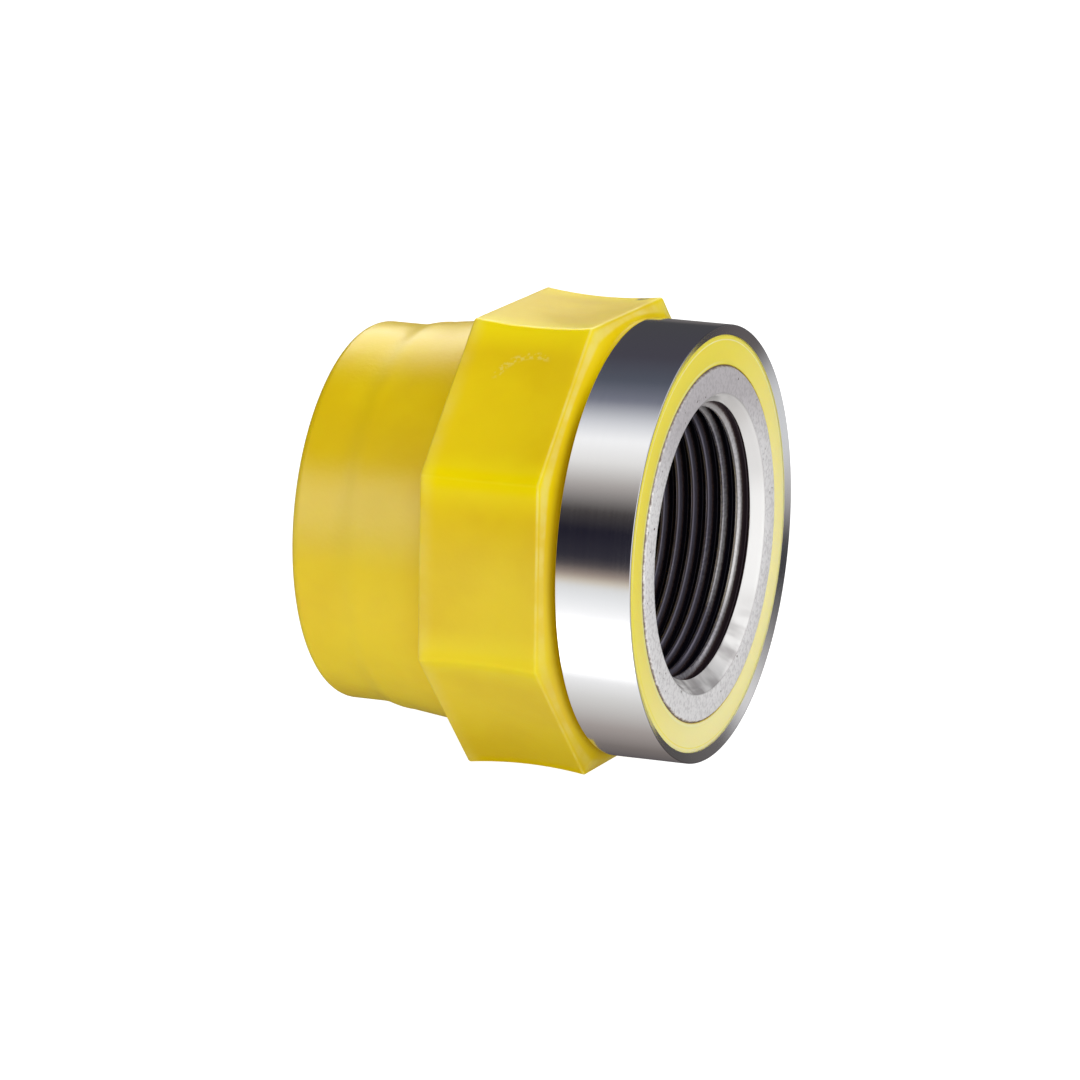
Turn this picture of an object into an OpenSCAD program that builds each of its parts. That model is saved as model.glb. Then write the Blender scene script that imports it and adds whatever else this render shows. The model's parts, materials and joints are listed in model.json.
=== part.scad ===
// Polyethylene female adapter for a 40 mm plastic pipe and a 1 1/4 inch pipe thread.
// A yellow moulded body holds a threaded metal insert, and a steel ring clamps the body's
// front collar round it. The pipe axis is X. The thread opens towards +X and the plain
// socket towards -X. x = 0 is where the countersink of the insert meets its bore.
// The grip is an octagon with flats to +Z, -Z, +Y and -Y, and the adapter rests on one.

/* [Threaded insert] */
// Radius of the bore, the minor radius of the female thread
bore_r = 19.476; // [17:0.1:21]
// Wall of the insert between its bore and its plain outside
insert_wall = 6.2; // [5:0.1:7.5]
// Length of the insert
insert_len = 24; // [20:0.5:28]
// How far the face of the insert stands out of the plastic
insert_proud = 0.2; // [0.1:0.1:1]
// Bevel round the outer edge of the face
insert_edge = 0.35; // [0.1:0.05:0.6]
// Depth of the countersink that leads the male thread in
countersink_depth = 2.5; // [1.5:0.1:3.5]
// How much wider than the bore the countersink is at its mouth
countersink_flare = 1.75; // [1:0.05:2.2]
// Small bevel where the countersink meets the face
mouth_edge = 0.4; // [0.1:0.05:0.6]
// Distance from one turn of the thread to the next
thread_pitch = 2.309; // [1.9:0.001:2.4]
// Depth of the thread
thread_depth = 1.479; // [1:0.001:1.6]
// Width of the crest, and of the bottom of the groove between two turns
thread_flat = 0.4; // [0.2:0.05:0.5]
// Number of locking grooves round the front of the insert
groove_count = 2; // [1:1:2]
// Width of a locking groove
groove_w = 2.4; // [1.5:0.1:3]
// Depth of a locking groove
groove_depth = 1.2; // [0.6:0.1:1.6]
// Distance from one locking groove to the next, and from the face to the first
groove_pitch = 4.6; // [4:0.1:5]
// Length of the notched flange at the back of the insert
flange_len = 8; // [6:0.5:9]
// How far the flange stands out of the plain outside
flange_rise = 1.9; // [1.2:0.1:2.4]
// Number of notches that keep the flange from turning
notch_count = 24; // [12:2:30]
// Radius of a notch
notch_r = 0.9; // [0.5:0.1:1.2]

/* [Clamp ring] */
// Wall of the steel ring
ring_wall = 1.5; // [1:0.1:2]
// Length of the ring along the pipe axis
ring_len = 11.45; // [9:0.05:12]
// How far the ring stands ahead of the plastic face
ring_proud = 0.5; // [0.2:0.1:1]
// Rounding of the ring's front outer edge
ring_round = 0.7; // [0.2:0.1:0.9]
// Bevel of the ring's back outer edge
ring_back_edge = 0.2; // [0.1:0.05:0.5]

/* [Plastic body, front] */
// Wall of the front collar between the insert and the ring
collar_wall = 4.3; // [3.5:0.1:5.5]
// Bevel round the front edge of the collar
collar_edge = 0.5; // [0.2:0.1:0.9]
// Length of the neck between the ring and the grip
neck_len = 2.15; // [1.5:0.05:3]
// Straight part of the neck, next to the ring
neck_land = 0.5; // [0.2:0.1:1]
// How far the neck lies below the ring
neck_drop = 0.3; // [0.1:0.1:0.6]

/* [Octagonal grip] */
// How far the flats stand above the ring
grip_rise = 0.95; // [0.7:0.05:3]
// Length of the grip along the pipe axis
grip_len = 18.1; // [14:0.1:24]
// Hollow of each flat at its middle
flat_dish = 0.6; // [0.2:0.05:0.8]
// Bevel along the front edge of each flat
front_edge = 0.5; // [0.2:0.05:0.6]
// Bevel along the back edge of each flat
back_edge = 0.25; // [0.1:0.05:0.5]

/* [Pipe socket] */
// Outside radius of the plastic pipe
pipe_r = 20; // [16:0.5:21]
// How much smaller than the pipe the socket is, for the fusion joint
fusion_bite = 0.3; // [0.2:0.05:0.5]
// Depth of the socket, from its mouth to the pipe stop
socket_depth = 20.5; // [16:0.5:24]
// Bevel that leads the pipe into the socket
lead_in = 1; // [0.5:0.1:1.5]
// Wall of the socket at its mouth
socket_wall = 7.7; // [5:0.1:8.5]
// Rounding of the outer edge of the mouth
socket_round = 1.6; // [0.5:0.1:3]
// Length of the straight band round the mouth
band_len = 6.4; // [4:0.1:7]
// Length of the smooth step that follows the band
step_len = 5; // [3:0.1:6]
// Height of the smooth step
step_rise = 0.75; // [0.3:0.05:1]
// How much the socket thickens from the step to the grip
socket_flare = 1.35; // [0.5:0.05:1.5]
// Radius of the waterway between the socket and the insert
waterway_r = 16.3; // [12:0.1:16.5]
// Length of the plastic web between the insert and the pipe stop
web_len = 9.1; // [6:0.1:12]

/* [Hidden] */
$fn = 128;

// Radii, from the pipe axis outwards
insert_r = bore_r + insert_wall;
flange_r = insert_r + flange_rise;
countersink_r = bore_r + countersink_flare;
collar_r = insert_r + collar_wall;
ring_r = collar_r + ring_wall;
neck_r = ring_r - neck_drop;
flat_r = ring_r + grip_rise;
socket_r = pipe_r - fusion_bite;
band_r = socket_r + socket_wall;
shank_r = band_r + step_rise;
root_r = shank_r + socket_flare;

// Places along the pipe axis, from the threaded mouth to the end of the socket
mouth_x = countersink_depth;
face_x = mouth_x - insert_proud;
ring_front_x = face_x + ring_proud;
ring_back_x = ring_front_x - ring_len;
grip_front_x = ring_back_x - neck_len;
grip_back_x = grip_front_x - grip_len;
insert_back_x = mouth_x - insert_len;
stop_x = insert_back_x - web_len;
end_x = stop_x - socket_depth;
thread_turns = floor((-insert_back_x - thread_flat) / thread_pitch);
step_x = end_x + band_len;
shank_x = step_x + step_len;

// The octagon and the arcs
flats = 8;
flat_turn = 360 / flats;
corner_ratio = 1 / cos(flat_turn / 2);
step_arc_r = (step_len ^ 2 + step_rise ^ 2) / (4 * step_rise);
dish_arc_r = (grip_len ^ 2 / 4 + flat_dish ^ 2) / (2 * flat_dish);
// How far a cut runs past the face that it opens through
past = 1;
// Thickness of the two slices between which the neck is drawn
slice = 0.02;

// Turns an outline about the pipe axis: the outline's first number is the radius and
// its second the place along the axis
module turned() {
    rotate([0, 90, 0]) rotate_extrude(convexity = 6) children();
}

// A plain disc of the outline, from one place on the axis to another
module band(r, from_x, to_x) {
    translate([0, from_x]) square([r, to_x - from_x]);
}

// The outside of the insert, which is also the hollow that the plastic takes round it
module insert_outside() {
    difference() {
        turned() difference() {
            union() {
                polygon([
                    [0, insert_back_x], [insert_r, insert_back_x],
                    [insert_r, mouth_x - insert_edge], [insert_r - insert_edge, mouth_x], [0, mouth_x]
                ]);
                band(flange_r, insert_back_x, insert_back_x + flange_len);
            }
            for (i = [1 : groove_count])
                translate([insert_r - groove_depth, mouth_x - i * groove_pitch - groove_w / 2])
                    square([groove_depth + past, groove_w]);
        }
        for (i = [0 : notch_count - 1])
            rotate([i * 360 / notch_count, 0, 0])
                translate([insert_back_x - past, 0, flange_r])
                    rotate([0, 90, 0]) cylinder(r = notch_r, h = flange_len + past + notch_r);
    }
}

// The groove between two turns of the thread, as a ring. It starts at a crest
module thread_groove(crest_x) {
    flank = (thread_pitch - 2 * thread_flat) / 2;
    front = crest_x - thread_flat;
    polygon([
        [0, front], [bore_r, front], [bore_r + thread_depth, front - flank],
        [bore_r + thread_depth, front - flank - thread_flat], [bore_r, crest_x - thread_pitch],
        [0, crest_x - thread_pitch]
    ]);
}

// The countersink and the bore of the insert, with its thread
module insert_bore() {
    turned() {
        polygon([
            [0, insert_back_x - past], [bore_r, insert_back_x - past], [bore_r, 0],
            [countersink_r, mouth_x - mouth_edge], [countersink_r + mouth_edge, mouth_x],
            [countersink_r + mouth_edge, mouth_x + past], [0, mouth_x + past]
        ]);
        for (turn = [0 : thread_turns - 1])
            thread_groove(-turn * thread_pitch);
    }
}

module threaded_insert() {
    color("gainsboro") difference() {
        insert_outside();
        insert_bore();
    }
}

// The section of the ring's wall, with its rounded front edge
module ring_section() {
    difference() {
        union() {
            band(ring_r, ring_back_x + ring_back_edge, ring_front_x - ring_round);
            band(ring_r - ring_back_edge, ring_back_x, ring_front_x - ring_round);
            band(ring_r - ring_round, ring_back_x, ring_front_x);
            polygon([
                [ring_r - ring_back_edge, ring_back_x], [ring_r, ring_back_x + ring_back_edge],
                [ring_r - ring_back_edge, ring_back_x + ring_back_edge]
            ]);
            translate([ring_r - ring_round, ring_front_x - ring_round]) circle(r = ring_round);
        }
        band(collar_r, ring_back_x - past, ring_front_x + past);
    }
}

module clamp_ring() {
    color("silver") turned() ring_section();
}

// Two opposite flats seen from the side, each a shallow arc between bevelled edges
module flat_pair_section() {
    difference() {
        polygon([
            [grip_back_x, back_edge - flat_r], [grip_back_x + back_edge, -flat_r],
            [grip_front_x - front_edge, -flat_r], [grip_front_x, front_edge - flat_r],
            [grip_front_x, flat_r - front_edge], [grip_front_x - front_edge, flat_r],
            [grip_back_x + back_edge, flat_r], [grip_back_x, flat_r - back_edge]
        ]);
        for (side = [-1, 1])
            translate([(grip_front_x + grip_back_x) / 2, side * (flat_r - flat_dish + dish_arc_r)])
                circle(r = dish_arc_r);
    }
}

// A pair of opposite flats as a solid, as wide as the grip needs
module flat_pair() {
    rotate([90, 0, 0]) linear_extrude(height = 3 * flat_r, center = true) flat_pair_section();
}

// Four flats at right angles
module square_bar() {
    intersection() {
        flat_pair();
        rotate([90, 0, 0]) flat_pair();
    }
}

// The octagonal grip: what two square bars share when they are turned apart by one flat.
// Each is turned half of that, so that they are alike to the last decimal
module grip() {
    rotate([flat_turn / 2, 0, 0]) intersection() {
        rotate([-flat_turn / 2, 0, 0]) square_bar();
        rotate([flat_turn / 2, 0, 0]) square_bar();
    }
}

// The neck: it draws in from the front edge of the octagon to the circle behind the ring
module neck() {
    hull() {
        translate([grip_front_x - slice, 0, 0]) rotate([flat_turn / 2, 0, 0]) rotate([0, 90, 0])
            cylinder(r = (flat_r - front_edge) * corner_ratio, h = slice, $fn = flats);
        translate([ring_back_x - neck_land - slice, 0, 0]) rotate([0, 90, 0])
            cylinder(r = neck_r, h = slice, $fn = 48);
    }
    translate([ring_back_x - neck_land - slice, 0, 0]) rotate([0, 90, 0])
        cylinder(r = neck_r, h = neck_land + slice);
}

// The front collar, with its bevelled edge
module collar() {
    turned() polygon([
        [0, grip_front_x], [collar_r, grip_front_x], [collar_r, face_x - collar_edge],
        [collar_r - collar_edge, face_x], [0, face_x]
    ]);
}

// The outside of the socket: rounded mouth, straight band, smooth step and a flare to the grip
module socket_outside() {
    turned() {
        band(band_r, end_x + socket_round, step_x);
        band(band_r - socket_round, end_x, step_x);
        translate([band_r - socket_round, end_x + socket_round]) circle(r = socket_round);
        difference() {
            band(band_r + step_rise / 2, step_x, step_x + step_len / 2);
            translate([band_r + step_arc_r, step_x]) circle(r = step_arc_r);
        }
        intersection() {
            band(shank_r, step_x + step_len / 2, shank_x);
            union() {
                band(shank_r - step_arc_r, step_x, shank_x);
                translate([shank_r - step_arc_r, shank_x]) circle(r = step_arc_r);
            }
        }
        polygon([[0, shank_x], [shank_r, shank_x], [root_r, grip_back_x], [root_r, grip_back_x + past],
            [0, grip_back_x + past]]);
    }
}

// The socket's bore and lead-in, and the waterway through the web
module socket_bore() {
    turned() polygon([
        [0, end_x - past], [socket_r + lead_in + past, end_x - past], [socket_r, end_x + lead_in],
        [socket_r, stop_x], [waterway_r, stop_x], [waterway_r, insert_back_x + past],
        [0, insert_back_x + past]
    ]);
}

module plastic_body() {
    color("gold") difference() {
        union() {
            collar();
            neck();
            grip();
            socket_outside();
        }
        insert_outside();
        socket_bore();
    }
}

plastic_body();
clamp_ring();
threaded_insert();
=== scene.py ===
"""Looks of a polyethylene female adapter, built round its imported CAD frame.

The pipe axis is X, the threaded mouth opens towards +X and +Z is up. Sizes are in millimetres and
are the ones that the CAD part has. Blender works in metres, so a point is scaled by MM as it is placed.
"""

import json
import logging
import math
from collections.abc import Callable, Iterable, Mapping, Sequence
from dataclasses import dataclass
from enum import Enum
from functools import cached_property, reduce
from typing import ClassVar

import bmesh
import bpy
from mathutils import Matrix, Vector


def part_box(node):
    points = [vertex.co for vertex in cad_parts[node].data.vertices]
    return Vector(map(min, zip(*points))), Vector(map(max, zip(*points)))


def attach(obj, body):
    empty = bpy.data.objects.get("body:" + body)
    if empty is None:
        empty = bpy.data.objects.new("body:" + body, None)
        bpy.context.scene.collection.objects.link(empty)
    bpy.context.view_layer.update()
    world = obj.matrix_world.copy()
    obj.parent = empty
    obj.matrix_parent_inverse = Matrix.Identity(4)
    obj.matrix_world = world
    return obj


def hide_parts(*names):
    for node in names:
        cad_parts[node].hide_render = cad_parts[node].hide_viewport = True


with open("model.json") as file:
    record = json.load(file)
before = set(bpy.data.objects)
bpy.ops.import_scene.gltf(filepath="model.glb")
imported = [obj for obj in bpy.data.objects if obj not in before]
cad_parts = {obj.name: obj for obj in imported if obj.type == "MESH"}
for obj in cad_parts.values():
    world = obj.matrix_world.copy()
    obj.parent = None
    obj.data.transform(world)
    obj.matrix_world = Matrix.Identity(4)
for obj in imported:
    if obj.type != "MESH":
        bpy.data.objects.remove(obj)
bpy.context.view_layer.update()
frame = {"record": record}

log = logging.getLogger("adapter")

MM = 0.001
ROOT = "root"
FLAT_COUNT = 8
FLAT_TURN = 2 * math.pi / FLAT_COUNT
WELD_MM = 0.0001
SHARP_TURN = math.radians(34)
LINE_CORE = 0.3
WHITE = (1.0, 1.0, 1.0)

Triple = tuple[float, float, float]
Colour = Triple
Span = tuple[float, float]
Stop = tuple[float, float, float, float]
Radius = Callable[[float], float]
Socket = bpy.types.NodeSocket
Feed = float | Triple | Socket
Inputs = Mapping[str | int, Feed]


class Piece(Enum):
    """The pieces of the visual model, each with the CAD node and the material slot it stands for."""

    BODY = "moulded_body", "plastic_body", "polyethylene"
    RING = "polished_ring", "clamp_ring", "ring_steel"
    INSERT = "tapped_insert", "threaded_insert", "insert_metal"

    def __init__(self, object_name: str, node: str, slot: str) -> None:
        """Takes the names of the Blender object, of the CAD node that it replaces and of the slot."""
        self.object_name, self.node, self.slot = object_name, node, slot


@dataclass(frozen=True)
class Station:
    """One ring of a skin: a place along the pipe axis and the radius there at each angle."""

    x: float
    radius: Radius

    def place(self, verts: Iterable[bmesh.types.BMVert]) -> None:
        """Moves points to this station, each at its own angle round the pipe axis.

        Args:
            verts: The points to move.
        """
        for vert in verts:
            angle = math.atan2(vert.co.z, vert.co.y)
            vert.co = axis_point(self.x, self.radius(angle), angle)


def axis_point(x: float, radius: float, angle: float) -> Vector:
    """Gives a point, in metres, by its place along the axis, its radius and its angle from +Y towards +Z."""
    return Vector((x, radius * math.cos(angle), radius * math.sin(angle))) * MM


def circle(radius: float) -> Radius:
    """Gives the outline of a circle, which has the same radius at every angle."""
    return lambda angle: radius


def ring_of(x: float, radius: float) -> Station:
    """Gives a round station."""
    return Station(x, circle(radius))


def arc(centre: Span, radius: float, start: float, end: float, steps: int) -> list[Station]:
    """Gives the round stations along an arc of a section.

    Args:
        centre: The arc's centre, as a place along the axis and a radius.
        radius: The arc's own radius.
        start: Angle of its first point in degrees, from +X towards the outside.
        end: Angle of its last point in degrees.
        steps: How many chords stand for the arc.

    Returns:
        The stations, from the first point to the last.
    """
    stations = []
    for step in range(steps + 1):
        turn = math.radians(start + (end - start) * step / steps)
        stations.append(ring_of(centre[0] + radius * math.cos(turn), centre[1] + radius * math.sin(turn)))
    return stations


@dataclass(frozen=True)
class Octagon:
    """A regular octagon with rounded corners and flats towards Y and Z."""

    apothem: float
    corner_round: float

    def radius(self, angle: float) -> float:
        """Gives the distance from the axis to the outline.

        Args:
            angle: Angle round the pipe axis.

        Returns:
            The distance, in the octagon's own units.
        """
        half = FLAT_TURN / 2
        from_flat = abs((angle + half) % FLAT_TURN - half)
        inner = self.apothem - self.corner_round
        if from_flat <= math.atan(inner * math.tan(half) / self.apothem):
            return self.apothem / math.cos(from_flat)
        centre = inner / math.cos(half)
        off = half - from_flat
        return centre * math.cos(off) + math.sqrt(self.corner_round**2 - (centre * math.sin(off)) ** 2)


class RingSkin:
    """A closed skin round the pipe axis, grown ring by ring with bmesh operators."""

    def __init__(self, mesh: bmesh.types.BMesh, rim: Iterable[bmesh.types.BMEdge]) -> None:
        """Takes a mesh, and the edges of the open rim that the skin grows from."""
        self.mesh = mesh
        self.rim = list(rim)

    @classmethod
    def from_angles(cls, angles: Sequence[float], first: Station) -> "RingSkin":
        """Starts a skin with one ring.

        Args:
            angles: The angle of each of the ring's points.
            first: Where the ring is.

        Returns:
            The new skin.
        """
        mesh = bmesh.new()
        made = bmesh.ops.create_circle(mesh, cap_ends=False, radius=1.0, segments=len(angles))
        for vert, angle in zip(made["verts"], angles):
            vert.co = axis_point(first.x, first.radius(angle), angle)
        return cls(mesh, mesh.edges)

    def grow(self, stations: Iterable[Station]) -> None:
        """Extrudes the rim to each station in turn.

        Args:
            stations: The stations, nearest first.
        """
        for station in stations:
            grown = bmesh.ops.extrude_edge_only(self.mesh, edges=self.rim)["geom"]
            verts = {part for part in grown if isinstance(part, bmesh.types.BMVert)}
            edges = (part for part in grown if isinstance(part, bmesh.types.BMEdge))
            self.rim = [edge for edge in edges if edge.verts[0] in verts and edge.verts[1] in verts]
            station.place(verts)

    def close(self) -> None:
        """Welds the last ring to the ring or rim that lies in the same place."""
        bmesh.ops.remove_doubles(self.mesh, verts=self.mesh.verts, dist=WELD_MM * MM)


def soften_edges(mesh: bmesh.types.BMesh, width: float, least_turn: float = 25.0) -> None:
    """Rounds every sharp edge of a mesh a little, as moulding and machining leave them.

    Args:
        mesh: The mesh to work on.
        width: Width of the rounding, in millimetres.
        least_turn: An edge is sharp when its faces turn by more than this, in degrees.
    """
    sharp = [edge for edge in mesh.edges if edge.calc_face_angle(0.0) > math.radians(least_turn)]
    bmesh.ops.bevel(
        mesh,
        geom=sharp,
        offset=width * MM,
        offset_type="OFFSET",
        segments=2,
        profile=0.5,
        affect="EDGES",
        clamp_overlap=True,
        material=-1,
    )


def finish_piece(piece: Piece, mesh: bmesh.types.BMesh, material: bpy.types.Material) -> bpy.types.Object:
    """Turns a finished bmesh into a piece that rides with the frame and replaces its CAD node.

    Args:
        piece: Which piece it is.
        mesh: The finished mesh, which is freed.
        material: Its finish.

    Returns:
        The Blender object.
    """
    bmesh.ops.recalc_face_normals(mesh, faces=mesh.faces)
    data = bpy.data.meshes.new(piece.object_name)
    mesh.to_mesh(data)
    mesh.free()
    data.materials.append(material)
    data.polygons.foreach_set("use_smooth", [True] * len(data.polygons))
    data.set_sharp_from_angle(angle=SHARP_TURN)
    thing = bpy.data.objects.new(piece.object_name, data)
    bpy.context.scene.collection.objects.link(thing)
    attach(thing, ROOT)
    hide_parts(piece.node)
    log.info("%s: %d faces, replaces %s", piece.object_name, len(data.polygons), piece.node)
    return thing


@dataclass(frozen=True)
class EdgeLine:
    """A soft line beside an edge: how far it lies from it, half its width, and how much of it shows."""

    offset: float
    half_width: float
    share: float


class Wiring:
    """Shader nodes being wired up in one node tree, which each kind of wiring makes for itself."""

    @cached_property
    def tree(self) -> bpy.types.NodeTree:
        """The tree that the nodes go into."""
        raise NotImplementedError

    def feed(self, target: Socket, value: Feed) -> None:
        """Sets or links an input.

        Args:
            target: The input.
            value: A number, a colour or an output to link.
        """
        if isinstance(value, bpy.types.NodeSocket):
            self.tree.links.new(value, target)
        elif isinstance(value, tuple) and len(target.default_value) == 4:
            target.default_value = (*value, 1.0)
        else:
            target.default_value = value

    def add(self, kind: str, inputs: Inputs | None = None, **settings: str) -> bpy.types.Node:
        """Adds a node.

        Args:
            kind: The node's type, without the words that all of them start with.
            inputs: What its inputs get, by name or number.
            settings: The node's own settings.

        Returns:
            The node.
        """
        node = self.tree.nodes.new(f"ShaderNode{kind}")
        for name, value in settings.items():
            setattr(node, name, value)
        for target, value in (inputs or {}).items():
            self.feed(node.inputs[target], value)
        return node

    def calc(self, operation: str, *values: float | Socket) -> Socket:
        """Works out one operation of the Math node."""
        return self.add("Math", dict(enumerate(values)), operation=operation).outputs["Value"]

    def times(self, *values: float | Socket) -> Socket:
        """Multiplies two or more values."""
        return reduce(lambda product, value: self.calc("MULTIPLY", product, value), values)

    def fade(self, value: Socket, span: Span, out: Span = (0.0, 1.0), edge: float = 0.0) -> Socket:
        """Adds a smooth step.

        Args:
            value: What is faded.
            span: Where the step starts and ends.
            out: What it gives before and after.
            edge: The value that the span is measured from.

        Returns:
            The step.
        """
        ends = {"From Min": edge + span[0], "From Max": edge + span[1], "To Min": out[0], "To Max": out[1]}
        node = self.add("MapRange", {"Value": value, **ends}, interpolation_type="SMOOTHSTEP")
        return node.outputs["Result"]

    def window(self, value: Socket, rise: Span, fall: Span) -> Socket:
        """Gives 1 between two smooth steps, whose spans both run inwards, and 0 beyond them."""
        return self.times(self.fade(value, rise), self.fade(value, fall))

    def line(self, value: Socket, centre: float, half_width: float) -> Socket:
        """Gives a soft line, 1 where the value has its centre and 0 beside it."""
        off = self.calc("ABSOLUTE", self.calc("SUBTRACT", value, centre))
        return self.fade(off, (half_width, half_width * LINE_CORE))

    def edge_line(self, value: Socket, edge: float, line: EdgeLine) -> Socket:
        """Gives how much of a line beside an edge shows."""
        return self.times(self.line(value, edge + line.offset, line.half_width), line.share)

    def blend(self, share: Socket, first: Feed, second: Feed) -> Socket:
        """Mixes two colours.

        Args:
            share: How much of the second colour shows.
            first: The first colour.
            second: The second colour.

        Returns:
            The mix.
        """
        node = self.add("Mix", {"Factor": share}, data_type="RGBA")
        colours = (socket for socket in node.inputs if socket.type == "RGBA")
        for socket, colour in zip(colours, (first, second)):
            self.feed(socket, colour)
        return next(socket for socket in node.outputs if socket.type == "RGBA")

    def layers(self, base: Feed, *coats: tuple[Socket, Feed]) -> Socket:
        """Lays colours over a base, lowest first, each given after the share of it that shows."""
        return reduce(lambda under, coat: self.blend(coat[0], under, coat[1]), coats, base)


class Finish(Wiring):
    """A Principled material being wired up, with its patterns on Object coordinates in millimetres.

    Among the values of a finish, a span says where something starts to show and where it shows in full,
    and a share says how much of it shows.
    """

    name: ClassVar[str]

    @cached_property
    def material(self) -> bpy.types.Material:
        """The material, made when it is first asked for."""
        material = bpy.data.materials.new(self.name)
        material.use_nodes = True
        return material

    @cached_property
    def tree(self) -> bpy.types.NodeTree:
        """The material's nodes."""
        return self.material.node_tree

    def set(self, **values: Feed) -> None:
        """Sets or links inputs of the shader, each by its name with _ for a space."""
        for name, value in values.items():
            self.feed(self.tree.nodes["Principled BSDF"].inputs[name.replace("_", " ")], value)

    @cached_property
    def place(self) -> Socket:
        """The place in Object coordinates, in metres."""
        return self.add("TexCoord").outputs["Object"]

    @cached_property
    def sides(self) -> Mapping[str, Socket]:
        """The three parts of the place, in metres."""
        return self.add("SeparateXYZ", {"Vector": self.place}).outputs

    @cached_property
    def x(self) -> Socket:
        """The place along the pipe axis."""
        return self.times(self.sides["X"], 1 / MM)

    @cached_property
    def height(self) -> Socket:
        """The height above the pipe axis."""
        return self.times(self.sides["Z"], 1 / MM)

    @cached_property
    def around(self) -> Socket:
        """The angle round the pipe axis, from +Y towards +Z, in radians."""
        return self.calc("ARCTAN2", self.sides["Z"], self.sides["Y"])

    @cached_property
    def radius(self) -> Socket:
        """The distance from the pipe axis."""
        flat = self.add("CombineXYZ", {axis: self.sides[axis] for axis in "YZ"}).outputs["Vector"]
        return self.times(self.add("VectorMath", {0: flat}, operation="LENGTH").outputs["Value"], 1 / MM)

    @cached_property
    def facing(self) -> Socket:
        """How far the surface faces along the pipe axis, from -1 to 1."""
        return self.add("SeparateXYZ", {"Vector": self.add("TexCoord").outputs["Normal"]}).outputs["X"]

    def across(self, y: float, z: float) -> Socket:
        """Gives the distance from the pipe axis towards a direction square to it."""
        inputs = {0: self.place, 1: (0, y / MM, z / MM)}
        return self.add("VectorMath", inputs, operation="DOT_PRODUCT").outputs["Value"]

    def away_from(self, point: Triple) -> Socket:
        """Gives the distance from a point."""
        inputs = {0: self.place, 1: tuple(value * MM for value in point)}
        return self.times(self.add("VectorMath", inputs, operation="DISTANCE").outputs["Value"], 1 / MM)

    def noise(self, per_metre: float, detail: float = 2.0, stretch: Triple = (1, 1, 1)) -> Socket:
        """Gives noise from 0 to 1, with its grains closer together along an axis that is stretched."""
        place = self.add("Mapping", {"Vector": self.place, "Scale": stretch}).outputs["Vector"]
        return self.add("TexNoise", {"Vector": place, "Scale": per_metre, "Detail": detail}).outputs["Fac"]

    def streaks(self, per_turn: float, per_mm: float) -> Socket:
        """Adds a pattern of streaks that run along the pipe axis.

        Args:
            per_turn: How many streaks there are round the axis.
            per_mm: How much they change in a millimetre along it.

        Returns:
            The pattern, from 0 to 1.
        """
        turn = self.times(self.around, per_turn / (2 * math.pi))
        place = self.add("CombineXYZ", {"X": turn, "Y": self.times(self.x, per_mm)}).outputs["Vector"]
        return self.add("TexNoise", {"Vector": place, "Scale": 1.0, "Detail": 3.0}).outputs["Fac"]

    def bump(self, height: Socket, depth: float, strength: float | Socket = 1.0) -> None:
        """Lets a pattern stand proud by a depth, as bump, in so far as its strength says."""
        inputs = {"Height": height, "Distance": depth * MM, "Strength": strength}
        self.set(Normal=self.add("Bump", inputs).outputs["Normal"])


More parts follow.
